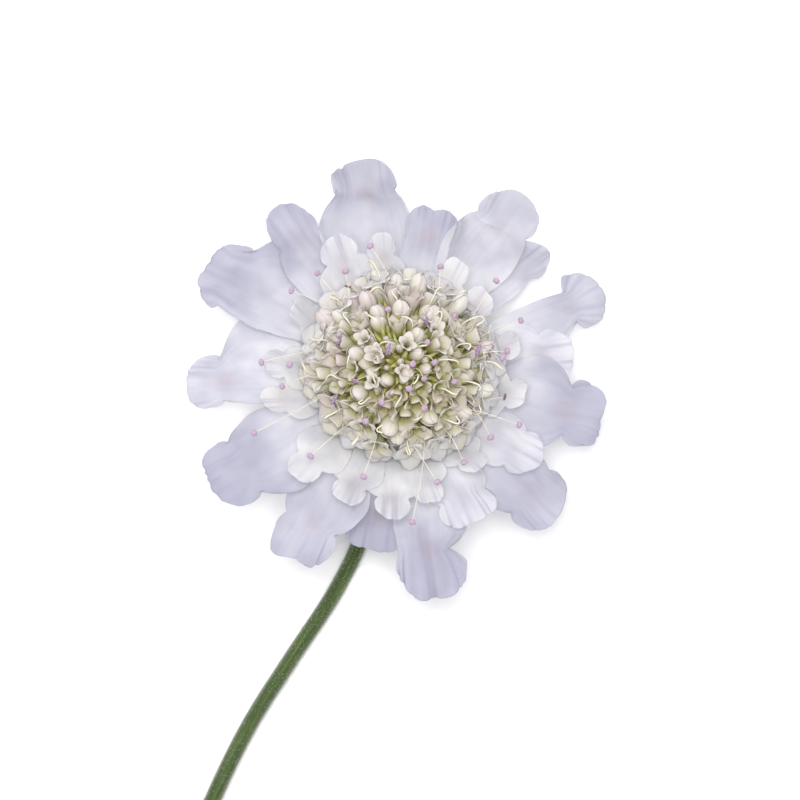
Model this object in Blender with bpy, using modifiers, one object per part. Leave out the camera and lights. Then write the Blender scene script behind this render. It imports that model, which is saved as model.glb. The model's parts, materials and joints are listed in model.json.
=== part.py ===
"""A cut scabiosa bloom lying on a surface, face up, with its stem curving away under it.

Metres, +Z up. The surface is Z = 0. The row frame's origin is the middle of the object's
footprint. The head is built in its own frame, with +Z out of its face, and is then tilted.
"""

import math
import random

import bmesh
import bpy
from mathutils import Matrix, Vector

# Where the head lies and how it leans
HEAD_AT = Vector((0.0044, 0.0309, 0.0136))
TILT = math.radians(19.0)
TILT_TOWARDS = math.radians(75.0)

# The disc's core and the band of the ray tubes round its foot, in the head's frame
GAP = 0.0003
SEAT_Z = -0.0022
CORE_FOOT = 0.0046
CORE_RIM = 0.0112
CORE_SLOPE = 0.85
CORE_RISE = 0.0048
CORE_RINGS = 5
BAND_FOOT = 0.0068
BAND_LIP = 0.0096
BAND_BEVEL = 0.0002
ROUND_SIDES = 20

# Ray florets as they are seen from the front: bearing in degrees counted from the right,
# reach, width of the end lobe, spread of the side lobe that comes next round the head and
# of the other one, height of the tip, and roll in degrees, which lifts the first side lobe.
# The tips of two at the far side are low enough to lie pressed on the surface
OUTER_FLORETS = (
    (100.0, 0.0310, 0.0092, 0.0080, 0.0056, -0.0082, -3.0),
    (78.0, 0.0245, 0.0066, 0.0027, 0.0027, 0.0020, 0.0),
    (55.5, 0.0314, 0.0086, 0.0058, 0.0052, -0.0080, -6.0),
    (36.5, 0.0274, 0.0078, 0.0050, 0.0046, -0.0060, -9.0),
    (22.5, 0.0317, 0.0080, 0.0046, 0.0046, -0.0016, 7.0),
    (8.0, 0.0254, 0.0070, 0.0052, 0.0052, 0.0002, 8.0),
    (-11.0, 0.0302, 0.0092, 0.0068, 0.0066, -0.0008, 8.0),
    (-31.0, 0.0238, 0.0066, 0.0042, 0.0042, 0.0030, 0.0),
    (-42.0, 0.0306, 0.0092, 0.0056, 0.0064, -0.0020, 5.0),
    (-61.5, 0.0238, 0.0084, 0.0048, 0.0048, 0.0020, -3.0),
    (-80.5, 0.0324, 0.0098, 0.0062, 0.0044, -0.0024, -5.0),
    (-98.0, 0.0252, 0.0088, 0.0052, 0.0052, -0.0046, 0.0),
    (-120.0, 0.0306, 0.0094, 0.0086, 0.0060, -0.0018, 8.0),
    (-150.0, 0.0308, 0.0100, 0.0080, 0.0072, -0.0018, 8.0),
    (-178.5, 0.0303, 0.0082, 0.0052, 0.0080, -0.0014, 8.0),
    (152.0, 0.0318, 0.0088, 0.0054, 0.0078, -0.0020, 7.0),
    (125.5, 0.0294, 0.0072, 0.0052, 0.0052, 0.0000, 5.0),
)
# The shorter ones in front of them: bearing, reach, width of the end lobe, height of the tip
INNER_FLORETS = (
    (115.0, 0.0222, 0.0056, 0.0042),
    (97.0, 0.0208, 0.0040, 0.0056),
    (62.0, 0.0190, 0.0044, 0.0060),
    (40.0, 0.0196, 0.0048, 0.0052),
    (17.0, 0.0192, 0.0044, 0.0060),
    (-8.0, 0.0186, 0.0046, 0.0050),
    (-48.0, 0.0178, 0.0042, 0.0056),
    (-75.0, 0.0188, 0.0044, 0.0050),
    (-92.0, 0.0204, 0.0052, 0.0052),
    (-113.0, 0.0196, 0.0048, 0.0046),
    (-136.0, 0.0206, 0.0050, 0.0052),
    (-163.0, 0.0204, 0.0042, 0.0058),
    (165.0, 0.0190, 0.0044, 0.0050),
    (145.0, 0.0182, 0.0042, 0.0056),
)

# Shape of a ray floret: places along it are shares of the way to its end lobe's widest place
BLADE = 0.0006
PRESSED = 0.00020
OUTER_ROOT = (0.0080, -0.0007)
INNER_ROOT = (0.0083, 0.0001)
ROOT_HALF = 0.0015
TIP_SHARE = 0.19
SHOULDER_AT = 0.60
WAIST_AT = 0.85
WAIST_SHARE = 0.74
EAR_FORWARD = 0.0012
FULL_LENGTH = 0.023
ARCH = 0.0056
ARCH_GIVE = 0.6
CURL = (-0.0008, 0.0010)
RUFFLE = 0.00050
RUFFLE_WAVES = 3.0
OUTER_COLUMNS, OUTER_ROWS = 8, 7
INNER_COLUMNS, INNER_ROWS = 4, 5
INNER_EAR_SHARE = 0.8
INNER_ROLL = 8.0
RAY_SEED = 10

# Buds over the core, with the smallest in the middle, and small open florets round its rim
GOLDEN_ANGLE = math.pi * (3.0 - math.sqrt(5.0))
BUD_COUNT = 96
BUD_SPREAD = 0.0108
BUD_HALF = (0.00088, 0.00134)
BUD_LENGTH = (0.0024, 0.0032)
BUD_SINK = 0.0008
BUD_WIDTHS = (0.0, 0.80, 1.0, 0.0)
BUD_LEVELS = (0.20, 0.74, 1.0)
BUD_LEAN = 0.10
BUD_TURN = 0.06
BUD_SIZE = (0.92, 1.06)
BUD_SEED = 11
STAR_COUNT = 15
STAR_AT = 0.0109
STAR_LENGTH = 0.0040
STAR_LOBES = 5
STAR_HALF = 0.0024
STAR_NECK = 0.0007
STAR_NOTCH = (0.58, 0.66)
STAR_TIP = (0.88, 1.08)
STAR_LEVELS = (0.50, 1.0, 0.74)
STAR_LIFT = 0.5
STAR_TURN = 0.25
STAR_SEED = 5

# Long stamens as they are seen from the front: bearing of the anther and its reach. The
# short ones stand among the buds
LONG_STAMENS = (
    (141.0, 0.0194), (127.8, 0.0186), (116.3, 0.0167), (101.8, 0.0190), (174.1, 0.0194),
    (-175.1, 0.0164), (-158.5, 0.0218), (-137.4, 0.0167), (-108.7, 0.0150), (-84.2, 0.0207),
    (-69.4, 0.0160), (-52.2, 0.0154), (-33.2, 0.0158), (-21.7, 0.0186), (13.0, 0.0160),
    (24.4, 0.0193), (44.0, 0.0196), (68.6, 0.0168),
)
LONG_STAMEN_Z = (0.0078, 0.0096)
LONG_STAMEN_FOOT = 0.0100
LONG_STAMEN_BEND = (0.45, 0.0016)
LONG_STAMEN_ROOT = 0.2
LONG_STAMEN_SPRAY = 0.3
SHORT_STAMENS = 8
SHORT_STAMEN_SPREAD = 0.0092
SHORT_STAMEN_RISE = (0.0036, 0.0044)
FILAMENT_HALF = 0.00030
ANTHER_HALF = 0.00060
STAMEN_SEED = 7

# Green bracts round the cup under the head
CUP_TOP_Z = SEAT_Z - GAP
CUP_FOOT_Z = -0.0062
CUP_RADIUS = 0.0062
BRACT_COUNT = 11
BRACT_ROOT = (0.0044, -0.0040)
BRACT_LENGTH = 0.0090
BRACT_HALVES = ((0.0, 0.0012), (0.45, 0.0016), (1.0, 0.0004))
BRACT_LIFT = 0.0018
BRACT_DROOP = 0.0003
BRACT_SEED = 3
BRACT_COLUMNS, BRACT_ROWS = 2, 4

# The stem: its neck bends down from the cup, then it lies on the surface along this line,
# which is counted from the point under the head
STEM_RADIUS = 0.00120
STEM_FOOT_RADIUS = 0.00132
STEM_TOP_Z = CUP_FOOT_Z - GAP
NECK_PULL = (0.0052, 0.0062)
NECK_STEPS = 10
STEM_ROUTE = (
    (-0.0036, -0.0135),
    (-0.0057, -0.0228),
    (-0.0098, -0.0312),
    (-0.0155, -0.0405),
    (-0.0211, -0.0498),
    (-0.0262, -0.0600),
    (-0.0303, -0.0705),
    (-0.0338, -0.0812),
    (-0.0372, -0.0920),
)

COLOURS = {
    "stem": (0.16, 0.24, 0.07, 1.0),
    "involucre": (0.20, 0.30, 0.10, 1.0),
    "ray_florets": (0.80, 0.80, 0.88, 1.0),
    "disc_florets": (0.80, 0.79, 0.62, 1.0),
}


def clear_scene():
    for old in list(bpy.data.objects):
        bpy.data.objects.remove(old, do_unlink=True)


def collection(name):
    made = bpy.data.collections.new(name)
    bpy.context.scene.collection.children.link(made)
    return made


def coloured(made):
    paint = bpy.data.materials.new(made.name)
    paint.use_nodes = True
    shader = paint.node_tree.nodes["Principled BSDF"]
    shader.inputs["Base Color"].default_value = COLOURS[made.name]
    shader.inputs["Roughness"].default_value = 0.55
    shader.inputs["Metallic"].default_value = 0.0
    made.data.materials.clear()
    made.data.materials.append(paint)


def object_from(bm, name, into):
    mesh = bpy.data.meshes.new(name)
    bm.to_mesh(mesh)
    bm.free()
    made = bpy.data.objects.new(name, mesh)
    into.objects.link(made)
    return made


def tilt_direction():
    return Vector((math.cos(TILT_TOWARDS), math.sin(TILT_TOWARDS), 0.0))


def head_frame():
    """From the head's frame to the row frame."""
    hinge = Vector((0.0, 0.0, 1.0)).cross(tilt_direction())
    return Matrix.Translation(HEAD_AT) @ Matrix.Rotation(TILT, 4, hinge)


def seen_from_above(bearing, reach, height):
    """Bearing and reach in the head's frame of the point that is seen at these from above."""
    seen = reach * Vector((math.cos(bearing), math.sin(bearing), 0.0))
    along = tilt_direction()
    seen_along = seen.dot(along)
    own_along = (seen_along - height * math.sin(TILT)) / math.cos(TILT)
    own = seen + (own_along - seen_along) * along
    return math.atan2(own.y, own.x), own.length


def eased(at, stops):
    """A smooth line through (place, value) stops, level at each of them."""
    for (start, low), (end, high) in zip(stops, stops[1:]):
        if at <= end:
            share = (at - start) / (end - start)
            return low + (high - low) * share * share * (3.0 - 2.0 * share)
    return stops[-1][1]


def blade_grid(columns, rows):
    """A flat grid in triangles, with X from -1 to 1 and Y from 0 to 1."""
    bm = bmesh.new()
    bmesh.ops.create_grid(bm, x_segments=columns, y_segments=rows, size=1.0)
    bmesh.ops.triangulate(bm, faces=bm.faces[:])
    for vert in bm.verts:
        vert.co.y = (vert.co.y + 1.0) / 2
    return bm


def floret(name, into, grid, bearing, reach, lobe, ears, root, tip_z, roll, rng):
    """One ray floret: a claw, two side lobes, a waist and a ruffled end lobe, in one blade."""
    root_r, root_z = root
    length = reach - root_r
    tip = TIP_SHARE * length
    straight = length - tip
    arch = (ARCH + ARCH_GIVE * min(tip_z, 0.0)) * length / FULL_LENGTH
    fall = arch + root_z - tip_z
    curls = [rng.uniform(*CURL) for _ in ears]
    phase = rng.uniform(0.0, math.tau)
    waist = WAIST_SHARE * lobe / 2
    frame = head_frame() @ Matrix.Rotation(bearing - math.pi / 2, 4, "Z")
    bm = blade_grid(*grid)
    for vert in bm.verts:
        across, share = vert.co.x * math.pi / 2, vert.co.y
        side = 1 if across > 0 else 0
        ear = max(ears[side], waist)
        stops = ((0.0, ROOT_HALF), (SHOULDER_AT, ear), (WAIST_AT, waist), (1.0, lobe / 2))
        x = eased(share, stops) * math.sin(across)
        edge = 1 - math.cos(across)
        y = share * straight + tip * share**2 * math.cos(across)
        y += EAR_FORWARD * edge * eased(share, ((0.0, 0.0), (SHOULDER_AT, 1.0), (1.0, 0.0)))
        along = y / length
        z = root_z + arch * along - fall * along**2
        z += curls[side] * edge * share
        z += RUFFLE * share**3 * math.sin(RUFFLE_WAVES * 2 * across + phase)
        z -= x * math.tan(math.radians(roll)) * min(1.0, 2.0 * share)
        vert.co = frame @ Vector((x, root_r + y, z))
        vert.co.z = max(vert.co.z, BLADE / 2)
    made = object_from(bm, name, into)
    solid = made.modifiers.new("thickness", "SOLIDIFY")
    solid.thickness = BLADE
    solid.offset = 0.0
    return made


def islands(bm):
    """The separate closed surfaces of a mesh, as lists of faces."""
    left = set(bm.faces)
    while left:
        found, edge = [], [left.pop()]
        while edge:
            face = edge.pop()
            found.append(face)
            for near in {other for side in face.edges for other in side.link_faces} & left:
                left.remove(near)
                edge.append(near)
        yield found


def fill_hollows(mesh):
    """Repeats that meet all round a small space leave it sealed inside the body: this fills it."""
    bm = bmesh.new()
    bm.from_mesh(mesh)
    bmesh.ops.triangulate(bm, faces=bm.faces[:])
    inner = []
    for faces in islands(bm):
        corners = [[loop.vert.co for loop in face.loops] for face in faces]
        if sum(a.dot(b.cross(c)) for a, b, c in corners) < 1e-12:
            inner += faces
    bmesh.ops.delete(bm, geom=inner, context="FACES")
    bm.to_mesh(mesh)
    bm.free()


def union(made, others, name):
    """Joins a collection of repeats to the body that they grow from, and removes it."""
    joined = made.modifiers.new("joined", "BOOLEAN")
    joined.operation = "UNION"
    joined.operand_type = "COLLECTION"
    joined.collection = others
    joined.solver = "MANIFOLD"
    bpy.context.view_layer.update()
    graph = bpy.context.evaluated_depsgraph_get()
    mesh = bpy.data.meshes.new_from_object(made.evaluated_get(graph))
    mesh.name = name
    fill_hollows(mesh)
    made.modifiers.clear()
    made.data = mesh
    for old in list(others.objects):
        bpy.data.objects.remove(old, do_unlink=True)
    bpy.data.collections.remove(others)
    return made


def turned(name, into, profile, sides):
    """A solid of revolution about the head's axis from (radius, height) points."""
    bm = bmesh.new()
    verts = [bm.verts.new((radius, 0.0, height)) for radius, height in profile]
    for start, end in zip(verts, verts[1:] + verts[:1]):
        if start.co.x > 0.0 or end.co.x > 0.0:
            bm.edges.new((start, end))
    bmesh.ops.spin(
        bm,
        geom=bm.verts[:] + bm.edges[:],
        axis=(0.0, 0.0, 1.0),
        cent=(0.0, 0.0, 0.0),
        angle=math.tau,
        steps=sides,
        use_merge=True,
    )
    bmesh.ops.remove_doubles(bm, verts=bm.verts[:], dist=1e-6)
    bmesh.ops.recalc_face_normals(bm, faces=bm.faces[:])
    bmesh.ops.transform(bm, matrix=head_frame(), verts=bm.verts[:])
    return object_from(bm, name, into)


def pressed(made):
    """Flattens what lies on the surface or just over it."""
    for vert in made.data.vertices:
        if vert.co.z < PRESSED:
            vert.co.z = 0.0
    return made


def make_ray_florets(into):
    """The white ring: outer and inner ray florets on the band that their tubes form."""
    rng = random.Random(RAY_SEED)
    rise = (BAND_LIP - BAND_FOOT) * CORE_SLOPE
    inner = CORE_FOOT + GAP * math.hypot(1.0, CORE_SLOPE) / CORE_SLOPE
    profile = (
        (inner + rise / CORE_SLOPE + BAND_BEVEL, SEAT_Z + rise + BAND_BEVEL),
        (BAND_LIP, SEAT_Z + rise - 2 * BAND_BEVEL),
        (BAND_FOOT, SEAT_Z),
        (inner, SEAT_Z),
    )
    band = turned("ray_florets", into, profile, ROUND_SIDES)
    repeats = collection("ray repeats")
    for number, (bearing, reach, lobe, next_ear, ear, tip_z, roll) in enumerate(OUTER_FLORETS):
        own_bearing, own_reach = seen_from_above(math.radians(bearing), reach, tip_z)
        floret(
            f"outer {number}", repeats, (OUTER_COLUMNS, OUTER_ROWS), own_bearing, own_reach,
            lobe, (next_ear, ear), OUTER_ROOT, tip_z, roll, rng,
        )
    for number, (bearing, reach, lobe, tip_z) in enumerate(INNER_FLORETS):
        own_bearing, own_reach = seen_from_above(math.radians(bearing), reach, tip_z)
        floret(
            f"inner {number}", repeats, (INNER_COLUMNS, INNER_ROWS), own_bearing, own_reach,
            lobe, 2 * (INNER_EAR_SHARE * lobe,), INNER_ROOT, tip_z,
            rng.uniform(-INNER_ROLL, INNER_ROLL), rng,
        )
    return pressed(union(band, repeats, "ray_florets"))


def core_rim_z():
    return SEAT_Z + CORE_SLOPE * (CORE_RIM - CORE_FOOT)


def on_core(bearing, radius):
    """The point of the domed core at this radius and the direction that faces out there."""
    out = Vector((math.cos(bearing), math.sin(bearing), 0.0))
    level = math.sqrt(1.0 - (radius / CORE_RIM) ** 2)
    point = radius * out + Vector((0.0, 0.0, core_rim_z() + CORE_RISE * level))
    facing = radius / CORE_RIM**2 * out + Vector((0.0, 0.0, level / CORE_RISE))
    return point, facing.normalized()


def standing(point, facing, spin):
    """A frame with its +Z along this direction, in the row frame."""
    turn = facing.to_track_quat("Z", "Y").to_matrix().to_4x4()
    return head_frame() @ Matrix.Translation(point) @ turn @ Matrix.Rotation(spin, 4, "Z")


def bud(name, into, frame, half, length):
    """A closed floret: an egg whose foot is sunk in the core."""
    bm = bmesh.new()
    bmesh.ops.create_uvsphere(bm, u_segments=5, v_segments=3, radius=1.0)
    for vert in bm.verts:
        level = round(1.5 * (vert.co.z + 1.0))
        vert.co.xy = vert.co.xy.normalized() * half * BUD_WIDTHS[level]
        vert.co.z = length * BUD_LEVELS[level - 1] if level else -BUD_SINK
    bmesh.ops.transform(bm, matrix=frame, verts=bm.verts[:])
    return object_from(bm, name, into)


def star(name, into, frame, rng):
    """A small open floret: a tube that flares into a limb of round lobes."""
    bm = bmesh.new()
    sides = 2 * STAR_LOBES
    bmesh.ops.create_uvsphere(bm, u_segments=sides, v_segments=3, radius=1.0)
    for vert in bm.verts:
        level = round(1.5 * (vert.co.z + 1.0))
        notch = round(math.atan2(vert.co.y, vert.co.x) / math.tau * sides) % 2 == 0
        lobe = STAR_HALF * rng.uniform(*(STAR_NOTCH if notch else STAR_TIP))
        vert.co.xy = vert.co.xy.normalized() * (0.0, STAR_NECK, lobe, 0.0)[level]
        vert.co.z = STAR_LENGTH * STAR_LEVELS[level - 1] if level else -BUD_SINK
    bmesh.ops.transform(bm, matrix=frame, verts=bm.verts[:])
    return object_from(bm, name, into)


def stamen(number, into, path):
    """A filament through these points in the head's frame, with an anther across its end."""
    frame = head_frame()
    bm = bmesh.new()
    rings = []
    for at, point in enumerate(path):
        along = path[min(at + 1, len(path) - 1)] - path[max(at - 1, 0)]
        turn = along.to_track_quat("Z", "Y")
        corners = [
            turn @ Vector((math.cos(angle), math.sin(angle), 0.0))
            for angle in (0.0, math.tau / 3, 2 * math.tau / 3)
        ]
        rings.append([bm.verts.new(frame @ (point + FILAMENT_HALF * c)) for c in corners])
    for low, high in zip(rings, rings[1:]):
        for side in range(3):
            other = (side + 1) % 3
            bm.faces.new((low[side], low[other], high[other], high[side]))
    bm.faces.new(rings[0][::-1])
    bm.faces.new(rings[-1])
    bmesh.ops.recalc_face_normals(bm, faces=bm.faces[:])
    object_from(bm, f"filament {number}", into)
    bm = bmesh.new()
    bmesh.ops.create_uvsphere(bm, u_segments=4, v_segments=3, radius=ANTHER_HALF)
    bmesh.ops.transform(bm, matrix=frame @ Matrix.Translation(path[-1]), verts=bm.verts[:])
    object_from(bm, f"anther {number}", into)


def make_disc_florets(into):
    """The cushion: buds, small open florets and stamens on the domed core that they cover."""
    steps = [math.pi / 2 * step / CORE_RINGS for step in range(CORE_RINGS + 1)]
    rim_z = core_rim_z()
    profile = [(CORE_RIM * math.sin(a), rim_z + CORE_RISE * math.cos(a)) for a in steps]
    core = turned(
        "disc_florets", into, profile + [(CORE_FOOT, SEAT_Z), (0.0, SEAT_Z)], ROUND_SIDES
    )
    repeats = collection("disc repeats")
    rng = random.Random(BUD_SEED)
    for number in range(BUD_COUNT):
        share = math.sqrt((number + 0.5) / BUD_COUNT)
        bearing = number * GOLDEN_ANGLE + rng.uniform(-BUD_TURN, BUD_TURN)
        point, facing = on_core(bearing, BUD_SPREAD * share)
        low, high = BUD_HALF
        half = (low + (high - low) * share) * rng.uniform(*BUD_SIZE)
        facing += Vector([rng.uniform(-BUD_LEAN, BUD_LEAN) for _ in range(3)])
        frame = standing(point, facing, rng.uniform(0.0, math.tau))
        bud(f"bud {number}", repeats, frame, half, rng.uniform(*BUD_LENGTH))
    rng = random.Random(STAR_SEED)
    for number in range(STAR_COUNT):
        bearing = math.tau * (number + rng.uniform(-STAR_TURN, STAR_TURN)) / STAR_COUNT
        point, facing = on_core(bearing, STAR_AT)
        facing += Vector((0.0, 0.0, STAR_LIFT))
        frame = standing(point, facing, rng.uniform(0.0, math.tau))
        star(f"star {number}", repeats, frame, random.Random(number))
    rng = random.Random(STAMEN_SEED)
    for number, (bearing, reach) in enumerate(LONG_STAMENS):
        height = rng.uniform(*LONG_STAMEN_Z)
        own_bearing, own_reach = seen_from_above(math.radians(bearing), reach, height)
        aside = rng.uniform(-LONG_STAMEN_SPRAY, LONG_STAMEN_SPRAY)
        foot, _ = on_core(own_bearing + aside, LONG_STAMEN_FOOT)
        out = Vector((math.cos(own_bearing), math.sin(own_bearing), 0.0))
        tip = own_reach * out + Vector((0.0, 0.0, height))
        share, lift = LONG_STAMEN_BEND
        bend = foot.lerp(tip, share) + Vector((0.0, 0.0, lift))
        stamen(number, repeats, (foot.lerp(bend, -LONG_STAMEN_ROOT), bend, tip))
    for number in range(SHORT_STAMENS):
        radius = SHORT_STAMEN_SPREAD * math.sqrt((number + 0.8) / SHORT_STAMENS)
        foot, facing = on_core(number * GOLDEN_ANGLE + 1.0, radius)
        path = (foot - BUD_SINK * facing, foot + rng.uniform(*SHORT_STAMEN_RISE) * facing)
        stamen(len(LONG_STAMENS) + number, repeats, path)
    return union(core, repeats, "disc_florets")


def bract(name, into, bearing, rng):
    """A narrow green leaf that tapers to a point."""
    root_r, root_z = BRACT_ROOT
    length = BRACT_LENGTH * rng.uniform(0.88, 1.08)
    frame = head_frame() @ Matrix.Rotation(bearing - math.pi / 2, 4, "Z")
    bm = blade_grid(BRACT_COLUMNS, BRACT_ROWS)
    for vert in bm.verts:
        along = vert.co.y
        half = eased(along, BRACT_HALVES)
        z = root_z + BRACT_LIFT * math.sin(along * math.pi / 2) - BRACT_DROOP * abs(vert.co.x)
        vert.co = frame @ Vector((half * vert.co.x, root_r + length * along, z))
    made = object_from(bm, name, into)
    solid = made.modifiers.new("thickness", "SOLIDIFY")
    solid.thickness = BLADE
    solid.offset = 0.0


def make_involucre(into):
    """The green cup that carries the florets, with its ring of bracts."""
    rng = random.Random(BRACT_SEED)
    profile = (
        (0.0, CUP_TOP_Z),
        (0.8 * CUP_RADIUS, CUP_TOP_Z),
        (CUP_RADIUS, CUP_TOP_Z - 0.0008),
        (0.9 * CUP_RADIUS, CUP_TOP_Z - 0.0019),
        (0.5 * CUP_RADIUS, CUP_FOOT_Z + 0.0006),
        (STEM_RADIUS + 0.0002, CUP_FOOT_Z),
        (0.0, CUP_FOOT_Z),
    )
    cup = turned("involucre", into, profile, ROUND_SIDES)
    repeats = collection("bracts")
    for number in range(BRACT_COUNT):
        bract(f"bract {number}", repeats, math.tau * (number + 0.5) / BRACT_COUNT, rng)
    return union(cup, repeats, "involucre")


def make_stem(into):
    """The leafless stem, from its neck to the plain cut end."""
    frame = head_frame()
    top = frame @ Vector((0.0, 0.0, STEM_TOP_Z))
    down = frame.to_3x3() @ Vector((0.0, 0.0, -1.0))
    lying = [Vector((HEAD_AT.x + x, HEAD_AT.y + y, STEM_RADIUS)) for x, y in STEM_ROUTE]
    onward = (lying[1] - lying[0]).normalized()
    first = top + NECK_PULL[0] * down
    second = lying[0] - NECK_PULL[1] * onward
    route = []
    for step in range(NECK_STEPS):
        t = step / NECK_STEPS
        route.append(
            (1 - t) ** 3 * top + 3 * (1 - t) ** 2 * t * first
            + 3 * (1 - t) * t**2 * second + t**3 * lying[0]
        )
    route += lying
    curve = bpy.data.curves.new("stem line", "CURVE")
    curve.dimensions = "3D"
    curve.bevel_depth = STEM_RADIUS
    curve.bevel_resolution = 2
    curve.use_fill_caps = True
    spline = curve.splines.new("POLY")
    spline.points.add(len(route) - 1)
    for at, (point, place) in enumerate(zip(spline.points, route)):
        radius = STEM_RADIUS + (STEM_FOOT_RADIUS - STEM_RADIUS) * at / (len(route) - 1)
        if at >= NECK_STEPS:
            place.z = radius
        point.co = (*place, 1.0)
        point.radius = radius / STEM_RADIUS
    guide = bpy.data.objects.new("stem line", curve)
    into.objects.link(guide)
    graph = bpy.context.evaluated_depsgraph_get()
    mesh = bpy.data.meshes.new_from_object(guide.evaluated_get(graph))
    bm = bmesh.new()
    bm.from_mesh(mesh)
    bmesh.ops.remove_doubles(bm, verts=bm.verts[:], dist=1e-6)
    bm.to_mesh(mesh)
    bm.free()
    bpy.data.objects.remove(guide, do_unlink=True)
    mesh.name = "stem"
    made = bpy.data.objects.new("stem", mesh)
    into.objects.link(made)
    return pressed(made)


def main():
    clear_scene()
    flower = collection("scabiosa flower")
    for make in (make_ray_florets, make_disc_florets, make_involucre, make_stem):
        coloured(make(flower))


main()
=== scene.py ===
import json
import math
import random

import bmesh
import bpy
import numpy as np
from mathutils import Matrix, Vector
from mathutils.bvhtree import BVHTree

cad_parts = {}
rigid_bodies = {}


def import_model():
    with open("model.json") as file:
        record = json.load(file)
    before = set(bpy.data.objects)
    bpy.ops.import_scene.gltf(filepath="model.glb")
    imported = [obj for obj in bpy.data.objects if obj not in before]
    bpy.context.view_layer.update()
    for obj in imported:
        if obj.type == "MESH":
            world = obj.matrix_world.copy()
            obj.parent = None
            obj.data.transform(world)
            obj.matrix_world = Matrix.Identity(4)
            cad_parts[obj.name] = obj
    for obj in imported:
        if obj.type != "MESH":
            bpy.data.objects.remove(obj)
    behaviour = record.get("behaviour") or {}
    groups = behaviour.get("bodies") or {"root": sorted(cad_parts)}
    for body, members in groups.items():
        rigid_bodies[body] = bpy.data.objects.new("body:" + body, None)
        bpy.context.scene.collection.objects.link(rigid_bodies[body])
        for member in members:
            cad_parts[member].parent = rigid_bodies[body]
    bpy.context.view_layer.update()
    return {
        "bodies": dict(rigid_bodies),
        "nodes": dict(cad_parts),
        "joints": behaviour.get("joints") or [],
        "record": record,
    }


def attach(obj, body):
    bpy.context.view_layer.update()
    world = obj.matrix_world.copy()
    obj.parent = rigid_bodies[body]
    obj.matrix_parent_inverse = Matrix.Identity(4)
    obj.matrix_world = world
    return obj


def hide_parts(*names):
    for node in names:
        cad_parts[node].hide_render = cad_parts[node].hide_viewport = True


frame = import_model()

# The stem is one leafless stalk of soft green tissue under a thin waxy skin. It grew out of the cup, bends over at
# its neck and lies along the surface to its cut end.
HEAD_AT = Vector((0.0044, 0.0309, 0.0136))
HEAD_TILT = math.radians(19.0)
TILT_TOWARDS = math.radians(75.0)
STEM_TOP = -0.0065
STEM_RADIUS = 0.00118
STEM_FOOT_RADIUS = 0.00130
STEM_SIDES = 28
STEM_CUTS = 130
STEM_HAIRS = 5200
STEM_HAIR = (0.00018, 0.00040)
STEM_HAIR_HALF = 0.000022
NECK_PULL = (0.0052, 0.0062)
NECK_STEPS = 24
STEM_ROUTE = (
    (-0.0034, -0.0135),
    (-0.0051, -0.0228),
    (-0.0091, -0.0312),
    (-0.0152, -0.0405),
    (-0.0211, -0.0498),
    (-0.0262, -0.0600),
    (-0.0303, -0.0705),
    (-0.0338, -0.0812),
    (-0.0372, -0.0920),
)


def head_frame():
    """From the head's frame, with its +Z out of the bloom's face, to the row frame."""
    lean = Vector((math.cos(TILT_TOWARDS), math.sin(TILT_TOWARDS), 0.0))
    hinge = Vector((0.0, 0.0, 1.0)).cross(lean)
    return Matrix.Translation(HEAD_AT) @ Matrix.Rotation(HEAD_TILT, 4, hinge)


def coordinates(piece):
    """The piece's vertices as rows of x, y and z."""
    found = np.empty(len(piece.data.vertices) * 3)
    piece.data.vertices.foreach_get("co", found)
    return found.reshape(-1, 3)


def reshape(piece, places):
    """Moves the piece's vertices to these places."""
    piece.data.vertices.foreach_set("co", np.asarray(places, float).ravel())
    piece.data.update()


def mark(piece, name, values):
    """Keeps a number or a vector at each vertex for the piece's material to read."""
    values = np.asarray(values, np.float32)
    kind, field = ("FLOAT", "value") if values.ndim == 1 else ("FLOAT_VECTOR", "vector")
    piece.data.attributes.new(name, kind, "POINT").data.foreach_set(field, values.ravel())


def stem_line():
    """Points down the stem's middle: a bent neck, then a smooth line through the lying route."""
    here = head_frame()
    top = here @ Vector((0.0, 0.0, STEM_TOP))
    down = here.to_3x3() @ Vector((0.0, 0.0, -1.0))
    lying = [Vector((HEAD_AT.x + x, HEAD_AT.y + y, STEM_FOOT_RADIUS)) for x, y in STEM_ROUTE]
    onward = (lying[1] - lying[0]).normalized()
    pulls = (top, top + NECK_PULL[0] * down, lying[0] - NECK_PULL[1] * onward, lying[0])
    line = []
    for step in range(NECK_STEPS):
        t = step / NECK_STEPS
        shares = ((1 - t) ** 3, 3 * (1 - t) ** 2 * t, 3 * (1 - t) * t * t, t**3)
        line.append(sum((share * pull for share, pull in zip(shares, pulls)), Vector()))
    ends = [2 * lying[0] - lying[1]] + lying + [2 * lying[-1] - lying[-2]]
    for a, b, c, d in zip(ends, ends[1:], ends[2:], ends[3:]):
        for step in range(10):
            t = step / 10
            bend = (c - a) * t + (2 * a - 5 * b + 4 * c - d) * t * t + (3 * b - a - 3 * c + d) * t**3
            line.append(b + 0.5 * bend)
    return line + [lying[-1]]


def frames_along(line, shares):
    """At these shares of a line's length: points, two sides and the way on, each turned as little as can be."""
    places = np.array([tuple(point) for point in line])
    run = np.concatenate([[0.0], np.cumsum(np.linalg.norm(np.diff(places, axis=0), axis=1))])
    at = np.stack([np.interp(shares * run[-1], run, places[:, axis]) for axis in range(3)], axis=1)
    ways = np.gradient(at, axis=0)
    ways /= np.linalg.norm(ways, axis=1)[:, None]
    side = np.cross(ways[0], (0.3, 0.9, 0.1))
    sides = []
    for way in ways:
        side = side - way * np.dot(side, way)
        side /= np.linalg.norm(side)
        sides.append(side)
    return at, np.array(sides), np.cross(ways, sides), ways


def moved(places, matrix):
    """Places after a matrix."""
    turn = np.array(matrix)
    return places @ turn[:3, :3].T + turn[:3, 3]


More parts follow.
